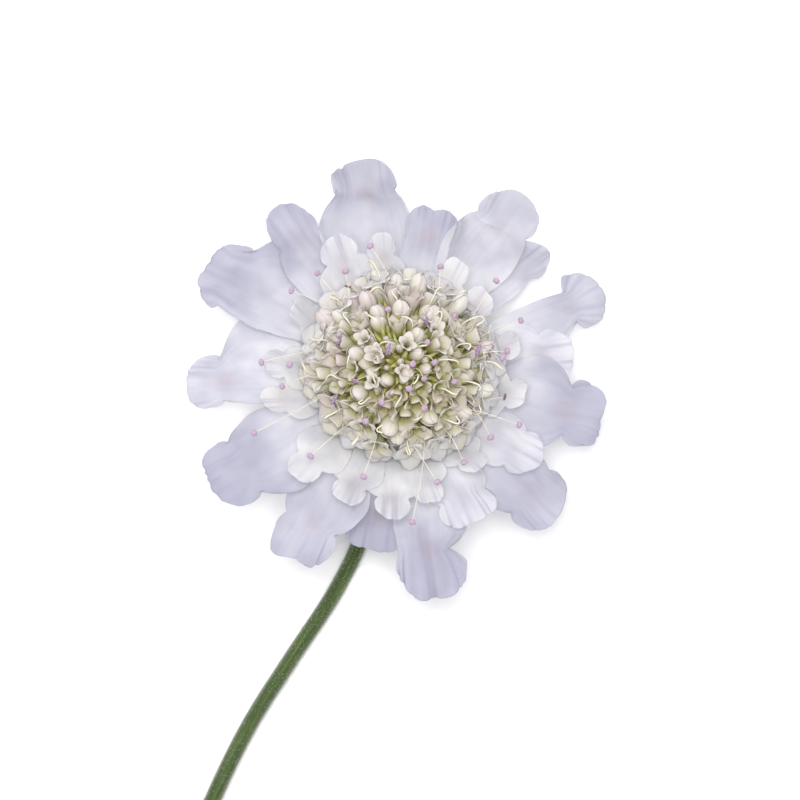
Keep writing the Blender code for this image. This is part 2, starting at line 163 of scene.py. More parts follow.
def copies(template, frames):
    """Turns a modelled piece into its copies at these frames, fused as one mesh."""
    single = coordinates(template)
    fused = bmesh.new()
    for _ in frames:
        fused.from_mesh(template.data)
    fused.to_mesh(template.data)
    fused.free()
    reshape(template, np.concatenate([moved(single, frame) for frame in frames]))
    return template


def standing(point, facing, outward=(0.0, 0.0, 1.0), size=(1.0, 1.0, 1.0)):
    """A frame with its +Z along one direction and its +X as near as can be to another."""
    up = Vector(facing).normalized()
    out = Vector(outward)
    out = (out - out.dot(up) * up).normalized()
    turn = Matrix((out, up.cross(out), up)).transposed().to_4x4()
    return Matrix.Translation(point) @ turn @ Matrix.Diagonal((*size, 1.0))


def hairs(name, roots, finish, node, rng, length, radius):
    """Short tapered hairs at these (place, direction) roots, that stay off the surface."""
    bpy.ops.object.select_all(action="DESELECT")
    bpy.ops.mesh.primitive_cone_add(vertices=3, radius1=radius, radius2=0.0, depth=1.0, end_fill_type="NOTHING")
    cone = bpy.context.object
    reshape(cone, coordinates(cone) + (0.0, 0.0, 0.5))
    frames = []
    for point, facing in roots:
        facing = facing.normalized() + Vector([rng.uniform(-0.35, 0.35) for _ in range(3)])
        frame = standing(point, facing, (0.3, 0.2, 0.9), (1.0, 1.0, rng.uniform(*length)))
        if (frame @ Vector((0.0, 0.0, 1.0))).z > radius:
            frames.append(frame)
    return settled(copies(cone, frames), name, finish, node)


def laid_along(piece, line, radii):
    """Lays an upright rod, one unit long with a radius of one, along a line, and gives each vertex's share."""
    rod = coordinates(piece)
    shares, level = np.unique(np.round(rod[:, 2] + 0.5, 5), return_inverse=True)
    at, sides, others, _ = frames_along(line, shares)
    radius = np.interp(shares, np.linspace(0, 1, len(radii)), radii)[level, None]
    reshape(piece, at[level] + radius * (rod[:, :1] * sides[level] + rod[:, 1:2] * others[level]))
    return shares[level]


def srgb(code):
    """An sRGB hex colour as linear values."""
    parts = [int(code[at : at + 2], 16) / 255 for at in (1, 3, 5)]
    return (*(p / 12.92 if p <= 0.04045 else ((p + 0.055) / 1.055) ** 2.4 for p in parts), 1.0)


def add(finish, kind, settings=(), links=()):
    """Adds a node to a finish. Settings name its properties, its sockets or a ramp's (place, hex colour) stops, and
    links feed its sockets."""
    made = finish.node_tree.nodes.new("ShaderNode" + kind)
    for name, value in dict(settings).items():
        if name == "stops":
            # A new ramp has two stops already
            for _ in value[2:]:
                made.color_ramp.elements.new(0.5)
            for stop, (place, code) in zip(made.color_ramp.elements, value):
                stop.position, stop.color = place, srgb(code)
        elif isinstance(name, str) and hasattr(made, name):
            setattr(made, name, value)
        else:
            made.inputs[name].default_value = value
    for name, source in dict(links).items():
        finish.node_tree.links.new(source, made.inputs[name])
    return made


def new_finish(name):
    """An empty material that is named for what it stands for."""
    made = bpy.data.materials.new(name)
    made.use_nodes = True
    made.node_tree.nodes.clear()
    return made


def settled(piece, name, finish, node):
    """Names a finished piece, gives it its finish, and lets it ride and stand for its CAD node."""
    bpy.ops.object.select_all(action="DESELECT")
    piece.select_set(True)
    bpy.context.view_layer.objects.active = piece
    bpy.ops.object.transform_apply(location=True, rotation=True, scale=True)
    piece.name = piece.data.name = name
    piece.data.materials.clear()
    piece.data.materials.append(finish)
    piece.data.shade_smooth()
    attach(piece, "root")
    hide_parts(node)
    return piece


def stem_skin():
    """Epidermis of a fresh stem: satin green, with fine paler ribs along it and a little mottling."""
    skin = new_finish("fresh stem epidermis")
    # The ribs are some 0.4 mm apart round the stem and run 9 mm along it
    grain = add(skin, "Attribute", {"attribute_name": "grain"}).outputs["Vector"]
    ribs = add(skin, "TexNoise", {"Scale": 1.0, "Detail": 3.0}, {"Vector": grain}).outputs["Fac"]
    stops = ((0.30, "#2B3B0F"), (0.50, "#374A15"), (0.72, "#4D6126"))
    tone = add(skin, "ValToRGB", {"stops": stops}, {"Fac": ribs}).outputs["Color"]
    bump = add(skin, "Bump", {"Strength": 0.3, "Distance": 0.0001}, {"Height": ribs})
    # The sheen is the finest down, which is too short to model
    shader = add(
        skin, "BsdfPrincipled",
        {"Roughness": 0.62, "IOR": 1.40, "Specular IOR Level": 0.3, "Sheen Weight": 1.0, "Sheen Roughness": 0.5},
        {"Base Color": tone, "Normal": bump.outputs[0]},
    )
    add(skin, "OutputMaterial", links={"Surface": shader.outputs[0]})
    return skin


def hair_cells():
    """Short hairs of single clear cells, which catch the light as a pale fuzz."""
    cells = new_finish("clear plant hair")
    # Patches of greener and clearer hairs are 1 mm across
    place = add(cells, "TexCoord").outputs["Object"]
    cloud = add(cells, "TexNoise", {"Scale": 900.0}, {"Vector": place}).outputs["Fac"]
    stops = ((0.3, "#C9D6C4"), (0.7, "#EEF3F2"))
    tone = add(cells, "ValToRGB", {"stops": stops}, {"Fac": cloud}).outputs["Color"]
    shader = add(
        cells, "BsdfPrincipled", {"Roughness": 0.35, "IOR": 1.45, "Transmission Weight": 0.3}, {"Base Color": tone}
    )
    add(cells, "OutputMaterial", links={"Surface": shader.outputs[0]})
    return cells


bpy.ops.object.select_all(action="DESELECT")
bpy.ops.mesh.primitive_cylinder_add(vertices=STEM_SIDES, radius=1.0, depth=1.0, end_fill_type="TRIFAN")
stem = bpy.context.object
# Only its long edges are cut, so that its end caps stay plain
bpy.ops.object.mode_set(mode="EDIT")
bpy.ops.mesh.select_mode(type="EDGE")
bpy.ops.mesh.select_all(action="DESELECT")
bpy.ops.object.mode_set(mode="OBJECT")
for edge in stem.data.edges:
    low, high = (stem.data.vertices[index].co for index in edge.vertices)
    edge.select = abs(low.z - high.z) > 0.5
bpy.ops.object.mode_set(mode="EDIT")
bpy.ops.mesh.subdivide(number_cuts=STEM_CUTS)
bpy.ops.object.mode_set(mode="OBJECT")
# The rod's top end is the far end of the line, so the grain's first two numbers go round it and the third along it
grain = coordinates(stem) * (3.2, 3.2, 0.0)
grain[:, 2] = laid_along(stem, stem_line(), (STEM_RADIUS, STEM_FOOT_RADIUS)) * 14.0
mark(stem, "grain", grain)
settled(stem, "stem_stalk", stem_skin(), "stem")

rng = random.Random(21)
shares = np.sort([rng.uniform(0.0, 1.0) for _ in range(STEM_HAIRS)])
at, sides, others, ways = frames_along(stem_line(), shares)
roots = []
for share, point, side, other, way in zip(shares, at, sides, others, ways):
    angle = rng.uniform(0.0, math.tau)
    out = Vector(math.cos(angle) * side + math.sin(angle) * other)
    radius = float(STEM_RADIUS + (STEM_FOOT_RADIUS - STEM_RADIUS) * share)
    roots.append((Vector(point) + 0.97 * radius * out, out - 0.4 * Vector(way)))
hair_finish = hair_cells()
hairs("stem_down", roots, hair_finish, "stem", rng, STEM_HAIR, STEM_HAIR_HALF)

# The involucre is a shallow green cup of fused leafy tissue at the stem's end, with a ring of narrow bracts. It
# carries the head and grew as one with it.
GAP = 0.0003
SEAT_Z = -0.0022
CUP_TOP_Z = SEAT_Z - GAP
CUP_FOOT_Z = -0.0062
CUP_RADIUS = 0.0062
BRACT_COUNT = 11
BRACT_ROOT = (0.0044, -0.0040)
BRACT_LENGTH = 0.0090
BRACT_HALVES = ((0.0, 0.0012), (0.45, 0.0016), (1.0, 0.00015))
BRACT_LIFT = 0.0018
BRACT_THICKNESS = 0.00030
BRACT_SEED = 3


def eased(at, *stops):
    """A smooth line through (place, value) stops, level at each of them."""
    places, values = (np.array(part, float) for part in zip(*stops))
    low = np.clip(np.searchsorted(places, at, side="left") - 1, 0, len(places) - 2)
    share = np.clip((at - places[low]) / (places[low + 1] - places[low]), 0.0, 1.0)
    return values[low] + (values[low + 1] - values[low]) * share * share * (3.0 - 2.0 * share)


def turned_to(ball, profile):
    """Moves the rings of a ball of radius one onto a profile of (radius, height) points from its top down."""
    places = coordinates(ball)
    share = np.arccos(np.clip(places[:, 2], -1.0, 1.0)) / math.pi
    around = np.arctan2(places[:, 1], places[:, 0])
    radius, height = (np.interp(share, np.linspace(0.0, 1.0, len(profile)), column) for column in zip(*profile))
    reshape(ball, np.stack([radius * np.cos(around), radius * np.sin(around), height], axis=1))


def joined(pieces):
    """Joins pieces into the first of them."""
    bpy.ops.object.select_all(action="DESELECT")
    for piece in pieces:
        piece.select_set(True)
    bpy.context.view_layer.objects.active = pieces[0]
    bpy.ops.object.join()
    return pieces[0]


def thickened(piece, thickness):
    """Gives a sheet its thickness, half to each side."""
    wall = piece.modifiers.new("wall", "SOLIDIFY")
    wall.thickness, wall.offset = thickness, 0.0
    bpy.ops.object.select_all(action="DESELECT")
    piece.select_set(True)
    bpy.context.view_layer.objects.active = piece
    bpy.ops.object.modifier_apply(modifier=wall.name)


def leaf_skin():
    """Leafy bract tissue: matt mid green with a paler grain where it is thin."""
    skin = new_finish("soft green bract")
    # The grain is 0.7 mm across, several cells wide
    place = add(skin, "TexCoord").outputs["Object"]
    grain = add(skin, "TexNoise", {"Scale": 1400.0, "Detail": 4.0}, {"Vector": place}).outputs["Fac"]
    stops = ((0.32, "#4A6226"), (0.52, "#66813A"), (0.70, "#8DA35C"))
    tone = add(skin, "ValToRGB", {"stops": stops}, {"Fac": grain}).outputs["Color"]
    bump = add(skin, "Bump", {"Strength": 0.5, "Distance": 0.0001}, {"Height": grain})
    shader = add(
        skin, "BsdfPrincipled", {"Roughness": 0.6, "IOR": 1.45, "Sheen Weight": 0.25},
        {"Base Color": tone, "Normal": bump.outputs[0]},
    )
    add(skin, "OutputMaterial", links={"Surface": shader.outputs[0]})
    return skin


bract_finish = leaf_skin()
bpy.ops.object.select_all(action="DESELECT")
bpy.ops.mesh.primitive_uv_sphere_add(segments=40, ring_count=28, radius=1.0)
cup = bpy.context.object
turned_to(cup, (
    (0.0, CUP_TOP_Z),
    (0.55 * CUP_RADIUS, CUP_TOP_Z),
    (0.92 * CUP_RADIUS, CUP_TOP_Z - 0.0001),
    (CUP_RADIUS, CUP_TOP_Z - 0.0007),
    (0.90 * CUP_RADIUS, CUP_TOP_Z - 0.0019),
    (0.50 * CUP_RADIUS, CUP_FOOT_Z + 0.0006),
    (STEM_RADIUS + 0.0002, CUP_FOOT_Z),
    (0.0, CUP_FOOT_Z),
))
reshape(cup, moved(coordinates(cup), head_frame()))
settled(cup, "involucre_cup", bract_finish, "involucre")

rng = random.Random(BRACT_SEED)
bracts, roots = [], []
for number in range(BRACT_COUNT):
    length = BRACT_LENGTH * rng.uniform(0.88, 1.08)
    bpy.ops.object.select_all(action="DESELECT")
    bpy.ops.mesh.primitive_grid_add(x_subdivisions=8, y_subdivisions=22, size=2.0)
    bract = bpy.context.object
    flat = coordinates(bract)
    share, across = (flat[:, 1] + 1) / 2, flat[:, 0]
    half = eased(share, *BRACT_HALVES)
    z = BRACT_ROOT[1] + BRACT_LIFT * np.sin(share * math.pi / 2) - 0.0004 * across**2 * half / 0.0016
    z += 0.00012 * np.exp(-((across / 0.15) ** 2)) * (1 - share)
    places = np.stack([half * across, BRACT_ROOT[0] + length * share, z], axis=1)
    turn = Matrix.Rotation(math.tau * (number + 0.5) / BRACT_COUNT - math.pi / 2, 4, "Z")
    reshape(bract, moved(places, head_frame() @ turn))
    thickened(bract, BRACT_THICKNESS)
    for vertex in bract.data.vertices:
        if rng.random() < 0.25:
            roots.append((vertex.co.copy(), vertex.normal.copy()))
    bracts.append(bract)
settled(joined(bracts), "involucre_bracts", bract_finish, "involucre")
hairs("involucre_down", roots, hair_finish, "involucre", rng, (0.00025, 0.0006), 0.000025)

# The ray florets are the bloom's white ring. Each is a tube that opens into one thin, limp blade with two side lobes
# and a ruffled end lobe. They lie over each other in the order that they opened in.
FILM = 0.00014
CLEAR = 0.00024
OUTER_ROOT = (0.0080, -0.0007)
INNER_ROOT = (0.0083, 0.0001)
ROOT_HALF = 0.0013
TIP_SHARE = 0.19
SHOULDER_AT = 0.66
SHORT_NOTCH_AT = 0.90
EAR_FORWARD = 0.0005
FULL_LENGTH = 0.023
ARCH = 0.0056
ARCH_GIVE = 0.6
CURL = (-0.0008, 0.0010)
INNER_EAR_SHARE = 0.8
INNER_ROLL = 8.0
RAY_SEED = 10
TUBE_FOOT = (0.0040, -0.0022)
TUBE_HALF = 0.00075
TUBE_PROFILE = (
    (0.0, 0.90), (0.60, 0.97), (1.0, 0.98), (1.0, 0.88), (0.80, 0.70),
    (0.66, 0.45), (0.62, 0.20), (0.60, 0.01), (0.0, 0.0),
)
OUTER_GRID = (64, 54)
INNER_GRID = (32, 30)
# Bearing in degrees from the right, reach, width of the end lobe, spread of its left and right side lobes, height of
# the tip, roll in degrees, place in the order from the back to the front, depth of the end lobe's cleft, how square
# the end lobe is, how dusky it is, how far along the notches are, and the share of the end lobe's width that the
# left and right notches leave
OUTER_FLORETS = (
    (100.3, 0.0318, 0.0094, 0.0078, 0.0056, -0.0082, -3.0, 6, 0.00, 0.50, 0.75, 0.96, 0.86, 0.86),
    (77.5, 0.0253, 0.0074, 0.0027, 0.0027, 0.0020, 0.0, 7, 0.16, 0.10, 0.85, 0.90, 0.90, 0.90),
    (55.0, 0.0319, 0.0092, 0.0058, 0.0052, -0.0080, -6.0, 10, 0.03, 0.25, 0.50, 0.94, 0.84, 0.82),
    (41.6, 0.0283, 0.0064, 0.0050, 0.0030, -0.0060, -9.0, 9, 0.00, 0.10, 0.60, 0.92, 0.70, 0.75),
    (22.4, 0.0319, 0.0080, 0.0020, 0.0050, -0.0016, 7.0, 8, 0.00, 0.45, 0.75, 0.95, 0.45, 0.60),
    (8.0, 0.0254, 0.0072, 0.0052, 0.0052, 0.0002, 8.0, 11, 0.00, 0.30, 0.25, 0.90, 0.80, 0.80),
    (-12.0, 0.0303, 0.0098, 0.0068, 0.0062, -0.0008, 8.0, 12, 0.03, 0.25, 1.00, 0.91, 0.70, 0.68),
    (-31.0, 0.0238, 0.0066, 0.0042, 0.0042, 0.0030, 0.0, 14, 0.00, 0.00, 0.30, 0.90, 0.85, 0.85),
    (-42.0, 0.0306, 0.0092, 0.0052, 0.0060, -0.0020, 5.0, 13, 0.02, 0.25, 0.90, 0.93, 0.86, 0.84),
    (-61.5, 0.0236, 0.0086, 0.0048, 0.0048, 0.0020, -3.0, 16, 0.00, 0.45, 0.30, 0.90, 0.80, 0.80),
    (-80.0, 0.0324, 0.0102, 0.0064, 0.0044, -0.0024, -5.0, 15, 0.05, 0.20, 1.00, 0.88, 0.54, 0.88),
    (-98.0, 0.0252, 0.0090, 0.0052, 0.0052, -0.0046, 0.0, 0, 0.02, 0.30, 1.00, 0.90, 0.80, 0.80),
    (-120.0, 0.0306, 0.0094, 0.0060, 0.0056, -0.0018, 8.0, 1, 0.08, 0.35, 0.90, 0.90, 0.78, 0.86),
    (-149.0, 0.0310, 0.0102, 0.0076, 0.0064, -0.0018, 8.0, 2, 0.00, 0.40, 1.05, 0.93, 0.82, 0.82),
    (-178.0, 0.0303, 0.0084, 0.0040, 0.0104, -0.0014, 8.0, 3, 0.02, 0.25, 0.65, 0.93, 0.78, 0.85),
    (149.8, 0.0320, 0.0110, 0.0052, 0.0114, -0.0020, 7.0, 4, 0.02, 0.30, 0.90, 0.97, 0.84, 0.84),
    (125.6, 0.0300, 0.0074, 0.0052, 0.0028, 0.0000, 5.0, 5, 0.00, -0.10, 0.90, 0.90, 0.86, 0.86),
)
# The shorter ones in front: bearing, reach, width of the end lobe, height of the tip
INNER_FLORETS = (
    (115.0, 0.0222, 0.0056, 0.0042),
    (97.0, 0.0208, 0.0040, 0.0056),
    (62.0, 0.0190, 0.0044, 0.0060),
    (43.0, 0.0178, 0.0046, 0.0056),
    (16.0, 0.0182, 0.0044, 0.0060),
    (-8.0, 0.0186, 0.0046, 0.0050),
    (-48.0, 0.0178, 0.0042, 0.0056),
    (-75.0, 0.0188, 0.0044, 0.0050),
    (-92.0, 0.0204, 0.0052, 0.0052),
    (-113.0, 0.0196, 0.0048, 0.0046),
    (-136.0, 0.0206, 0.0050, 0.0052),
    (-170.0, 0.0196, 0.0042, 0.0058),
    (173.0, 0.0190, 0.0044, 0.0050),
    (145.0, 0.0182, 0.0042, 0.0056),
)


def seen_from_above(bearing, reach, height):
    """Bearing and reach in the head's frame of the point that is seen at these from above."""
    seen = reach * Vector((math.cos(bearing), math.sin(bearing), 0.0))
    lean = Vector((math.cos(TILT_TOWARDS), math.sin(TILT_TOWARDS), 0.0))
    seen_along = seen.dot(lean)
    own_along = (seen_along - height * math.sin(HEAD_TILT)) / math.cos(HEAD_TILT)
    own = seen + (own_along - seen_along) * lean
    return math.atan2(own.y, own.x), own.length


def ripple(at, rng, pitches):
    """A soft random line made of a wave at each pitch, from about -1 to 1."""
    waves = [rng.uniform(0.5, 1.0) * np.sin(pitch * at + rng.uniform(0.0, math.tau)) for pitch in pitches]
    return sum(waves) / len(pitches) ** 0.5


def risen_over(places, size, beneath):
    """Lifts a sheet, a grid of places, clear of the sheets beneath it, with a soft edge to the lift."""
    lift = np.zeros(len(places))
    for at, (x, y, z) in enumerate(places):
        met = beneath.ray_cast(Vector((x, y, 0.06)), Vector((0.0, 0.0, -1.0)))[0]
        if met is not None:
            lift[at] = max(0.0, met.z + CLEAR - z)
    lift = lift.reshape(size)
    for _ in range(26):
        wide = np.pad(lift, 1, mode="edge")
        near = (wide[:-2, 1:-1] + wide[2:, 1:-1] + wide[1:-1, :-2] + wide[1:-1, 2:]) / 4
        lift = np.maximum(lift, 0.985 * near)
    return lift.ravel()


def outline(share, ear, waist, lobe, notch):
    """Half the width of a ray floret along it: it widens to a rounded side lobe, then a notch, then a round end
    lobe."""
    body = ROOT_HALF + (ear - ROOT_HALF) * np.sin(np.clip(share / SHOULDER_AT, 0.0, 1.0) * math.pi / 2) ** 2.0
    past = np.clip((share - SHOULDER_AT) / (notch - SHOULDER_AT), 0.0, 1.0)
    side = waist + (body - waist) * np.cos(past * math.pi / 2) ** 0.65
    back = np.clip((1.0 - share) / (1.0 - notch), 0.0, 1.0)
    end = waist + (lobe - waist) * np.cos(back * math.pi / 2) ** 0.8
    return np.where(share < SHOULDER_AT, body, np.where(share < notch, side, end))


def ray_floret(grid, bearing, reach, lobe, ears, root, tip_z, roll, curls, fine, cleft, square, notch, *narrow):
    """One ray floret's blade, flat in its mesh's order. It returns the piece, its share along and across, the distance
    from the root of its end lobe, and a mask of its pleats for the shade that is painted along them."""
    columns, rows = grid
    bpy.ops.mesh.primitive_grid_add(x_subdivisions=columns, y_subdivisions=rows, size=2.0)
    blade = bpy.context.object
    flat = coordinates(blade)
    across, share = flat[:, 0] * math.pi / 2, (flat[:, 1] + 1) / 2
    # The rows stand closer together towards the end lobe
    share = share + 0.16 * np.sin(math.pi * share)
    root_r, root_z = root
    length = reach - root_r
    tip = TIP_SHARE * length
    straight = length - tip
    arch = (ARCH + ARCH_GIVE * min(tip_z, 0.0)) * length / FULL_LENGTH
    fall = arch + root_z - tip_z
    waist = np.where(across > 0, narrow[1], narrow[0]) * lobe / 2
    half = np.where(
        across > 0,
        outline(share, np.maximum(ears[1], waist), waist, lobe / 2, notch),
        outline(share, np.maximum(ears[0], waist), waist, lobe / 2, notch),
    )
    edge = 1 - np.cos(across)
    end = eased(share, (0.55, 0.0), (1.0, 1.0))
    bow = 1.0 - 0.5 * square * end
    sine = np.sign(across) * np.abs(np.sin(across)) ** bow
    cosine = np.abs(np.cos(across)) ** bow
    rim = 1.0 + end * 0.030 * ripple(across, fine, (2.3, 3.7, 5.1))
    rim += end * 0.006 * ripple(across, fine, (9.0, 14.0, 19.0))
    rim -= cleft * end * np.exp(-((across / 0.30) ** 2))
    scale = min(1.0, lobe / 0.009) ** 1.5
    ruffle = 0.00010 * scale * ripple(across, fine, (5.0, 8.0, 13.0)) * eased(share, (0.4, 0.0), (1.0, 1.0))
    # The end lobe has a fan of small pleats that run in from its rim
    # The mask of the pleats only paints shade into their grooves
    pleat_shade_mask = np.zeros(len(share))
    for _ in range(fine.randint(6, 10)):
        at, wide, deep = fine.uniform(-1.45, 1.45), fine.uniform(0.05, 0.08), fine.uniform(0.3, 1.0)
        deep = deep * eased(share, (fine.uniform(0.80, 0.93), 0.0), (1.0, 1.0))
        off = (across - at) / wide
        pleat = deep * np.exp(-(off**2))
        pleat_shade_mask = np.maximum(pleat_shade_mask, pleat)
        ruffle += 0.00013 * scale * deep * np.sin(off) * np.exp(-((off / 1.6) ** 2))
        rim -= 0.030 * scale * pleat * end
    margin = 1.0 + 0.016 * ripple(share, fine, (11.0, 19.0, 31.0)) * np.sin(across) ** 2
    x = half * sine * rim * margin
    forward = eased(share, (notch - 0.03, 0.0), (1.0, 1.0))
    y = share * straight + tip * forward * cosine * rim
    y += EAR_FORWARD * edge * eased(share, (0.0, 0.0), (SHOULDER_AT, 1.0), (notch, 0.15), (1.0, 0.0))
    y -= tip * forward * (1 - rim) * 0.8
    along = y / length
    z = root_z + arch * along - fall * along**2
    broad = max(*ears, lobe / 2)
    z += np.where(across > 0, curls[1], curls[0]) * (x / broad) ** 2 * share
    z -= x * math.tan(math.radians(roll)) * np.minimum(1.0, 2.0 * share)
    z += 0.0009 * np.sin(across) ** 2 * eased(share, (0.0, 1.0), (0.4, 0.0))
    # Soft folds run along the blade and die out in its end lobe
    fold = fine.uniform(0.00004, 0.00010) * ripple(x, fine, (2200.0, 3600.0))
    z += fold * eased(share, (0.1, 0.0), (0.4, 1.0), (0.95, 0.2))
    z += 0.00035 * ripple(900.0 * y + 500.0 * x, fine, (0.5, 0.9)) * share
    z += 0.00025 * ripple(700.0 * x - 400.0 * y, fine, (0.8, 1.5)) * share
    z += ruffle
    turn = head_frame() @ Matrix.Rotation(bearing - math.pi / 2, 4, "Z")
    reshape(blade, moved(np.stack([x, root_r + y, z], axis=1), turn))
    return blade, across, share, x, y - notch * straight, pleat_shade_mask


def order_of_rows(blade, flat_shares):
    """The grid's vertices in order, row by row, with the number of rows and columns."""
    across, share = flat_shares
    order = np.lexsort((np.round(across, 4), np.round(share, 4)))
    rows = len(np.unique(np.round(share, 4)))
    return order, (rows, len(order) // rows)


def petal_film():
    """The thin wet skin of a white floret: milky and translucent, bluer and duskier towards the end lobe, greenish
    at the root, with faint veins along it, a brownish blush where the lobes part and painted shade along the pleats."""
    film = new_finish("translucent floret skin")
    dusk = add(film, "Attribute", {"attribute_name": "dusk"}).outputs["Fac"]
    stops = ((0.0, "#F3F3F5"), (0.5, "#E1E1E7"), (1.0, "#BBBBCB"))
    tone = add(film, "ValToRGB", {"stops": stops}, {"Fac": dusk}).outputs["Color"]
    # Cream, root and blush are the skin's own tones; the pleat tone is painted shade in the grooves of the end lobe's
    # pleats
    for name, code in (("cream", "#EEEEEA"), ("root", "#D6DCBE"), ("blush", "#BBAAB0"), ("crease", "#9C99B4")):
        share = add(film, "Attribute", {"attribute_name": name}).outputs["Fac"]
        tone = add(film, "Mix", {"data_type": "RGBA", 7: srgb(code)}, {0: share, 6: tone}).outputs[2]
    # The veins are 0.4 mm apart at the lobes and run with the blade. The thicker patches are some 5 mm across.
    grain = add(film, "Attribute", {"attribute_name": "grain"}).outputs["Vector"]
    place = add(film, "TexCoord").outputs["Object"]
    for scale, run, low, shade in ((1.0, grain, 0.36, "#F8F8FA"), (210.0, place, 0.34, "#E9E9EF")):
        cloud = add(film, "TexNoise", {"Scale": scale, "Detail": 2.0}, {"Vector": run}).outputs["Fac"]
        stops = ((low, shade), (1.0 - low, "#FFFFFF"))
        shade = add(film, "ValToRGB", {"stops": stops}, {"Fac": cloud}).outputs["Color"]
        multiply = {"data_type": "RGBA", "blend_type": "MULTIPLY", 0: 1.0}
        tone = add(film, "Mix", multiply, {6: tone, 7: shade}).outputs[2]
    skin = add(film, "BsdfPrincipled", {"Roughness": 0.55, "IOR": 1.4, "Sheen Weight": 0.1}, {"Base Color": tone})
    # Light that shines through loses less of itself than what is turned back
    through = add(film, "Mix", {"data_type": "RGBA", 0: 0.6, 7: srgb("#FFFFFF")}, {6: tone}).outputs[2]
    glow = add(film, "BsdfTranslucent", {}, {"Color": through})
    both = add(film, "MixShader", {0: 0.50}, {1: skin.outputs[0], 2: glow.outputs[0]})
    add(film, "OutputMaterial", links={"Surface": both.outputs[0]})
    return film


film = petal_film()
# Each floret draws one number more than it uses, so that its curls are those of its CAD blade
rng = random.Random(RAY_SEED)
blades = []
for number, row in enumerate(OUTER_FLORETS):
    bearing, reach, lobe, left, right, tip_z, roll, place, cleft, square, dusk, *notches = row
    own_bearing, own_reach = seen_from_above(math.radians(bearing), reach, tip_z)
    curls = [rng.uniform(*CURL) for _ in range(2)]
    rng.random()
    shape = (OUTER_GRID, own_bearing, own_reach, lobe, (left, right), OUTER_ROOT, tip_z, roll, curls)
    blades.append((place, f"ray_floret_{number + 1:02d}", shape, (cleft, square, *notches), dusk, 0.0))
for number, (bearing, reach, lobe, tip_z) in enumerate(INNER_FLORETS):
    own_bearing, own_reach = seen_from_above(math.radians(bearing), reach, tip_z)
    roll = rng.uniform(-INNER_ROLL, INNER_ROLL)
    curls = [rng.uniform(*CURL) for _ in range(2)]
    rng.random()
    ears = (INNER_EAR_SHARE * lobe, INNER_EAR_SHARE * lobe)
    shape = (INNER_GRID, own_bearing, own_reach, lobe, ears, INNER_ROOT, tip_z, roll, curls)
    name = f"short_ray_floret_{number + 1:02d}"
    blades.append((len(OUTER_FLORETS) + number, name, shape, (0.05, 0.1, SHORT_NOTCH_AT, 0.8, 0.8), 0.0, 0.5))

under_points, under_faces = [], []
for place, name, shape, cut, dusk, cream in sorted(blades, key=lambda blade: blade[0]):
    fine = random.Random(100 + place)
    blade, across, share, x, past_waist, pleat_shade_mask = ray_floret(*shape, fine, *cut)
    order, size = order_of_rows(blade, (across, share))
    places = coordinates(blade)
    if under_points:
        lift = np.zeros(len(places))
        lift[order] = risen_over(places[order], size, BVHTree.FromPolygons(under_points, under_faces))
        places[:, 2] += lift * eased(share, (0.0, 0.0), (0.22, 1.0))
    places[:, 2] = np.maximum(places[:, 2], FILM / 2 + 0.0001)
    reshape(blade, places)
    first = len(under_points)
    under_points += [tuple(point) for point in places]
    under_faces += [tuple(first + index for index in face.vertices) for face in blade.data.polygons]
    mark(blade, "dusk", dusk * eased(share, (0.30, 0.25), (0.98, 1.0)))
    # Painted shade along the end lobe's pleats
    mark(blade, "crease", 0.6 * pleat_shade_mask)
    mark(blade, "root", 0.8 * eased(share, (0.0, 1.0), (0.30, 0.0)))
    mark(blade, "blush", fine.uniform(0.1, 0.5) * np.exp(-((x / 0.0013) ** 2) - (past_waist / 0.0016) ** 2))
    mark(blade, "cream", np.full(len(places), cream))
    mark(blade, "grain", np.stack([across * 9.0, share * 2.0, np.full(len(places), 3.0 * place)], axis=1))
    wall = blade.modifiers.new("skin", "SOLIDIFY")
    wall.thickness, wall.offset = FILM, 0.0
    bpy.ops.object.modifier_apply(modifier=wall.name)
    settled(blade, name, film, "ray_florets")


# Behind its blade each floret narrows to a greenish tube that stands in the cup
for label, first, last, root in (("long", 0, 17, OUTER_ROOT), ("short", 17, 31, INNER_ROOT)):
    bpy.ops.object.select_all(action="DESELECT")
    bpy.ops.mesh.primitive_uv_sphere_add(segments=10, ring_count=8, radius=1.0)
    tube = bpy.context.object
    turned_to(tube, TUBE_PROFILE)
    green = eased(coordinates(tube)[:, 2], (0.0, 1.0), (1.0, 0.6))
    foot = Vector((TUBE_FOOT[0], 0.0, TUBE_FOOT[1]))
    mouth = Vector((root[0] + 0.0006, 0.0, root[1] + 0.0004))
    along = standing(foot, mouth - foot, (0.0, 1.0, 0.0), (TUBE_HALF, TUBE_HALF, (mouth - foot).length))
    turns = [head_frame() @ Matrix.Rotation(shape[1], 4, "Z") @ along for _, _, shape, _, _, _ in blades[first:last]]
    copies(tube, turns)
    mark(tube, "root", np.tile(green, len(turns)))
    settled(tube, f"{label}_ray_tubes", film, "ray_florets")
# The disc is the cushion of small cream florets on the domed green receptacle that they all grow out of. Those in
# the middle are still shut, those further out have opened, and each leans out from the middle.
CORE_FOOT = 0.0046
CORE_RIM = 0.0112
CORE_SLOPE = 0.85
CORE_RISE = 0.0048
CORE_RIM_Z = SEAT_Z + CORE_SLOPE * (CORE_RIM - CORE_FOOT)
GOLDEN_ANGLE = math.pi * (3.0 - math.sqrt(5.0))
BUD_COUNT = 96
BUD_SPREAD = 0.0108
BUD_SEED = 11
RIM_COUNT = 36
SMALL_COUNT = 26
OPEN_COUNT = 9
KINDS_EACH = 4
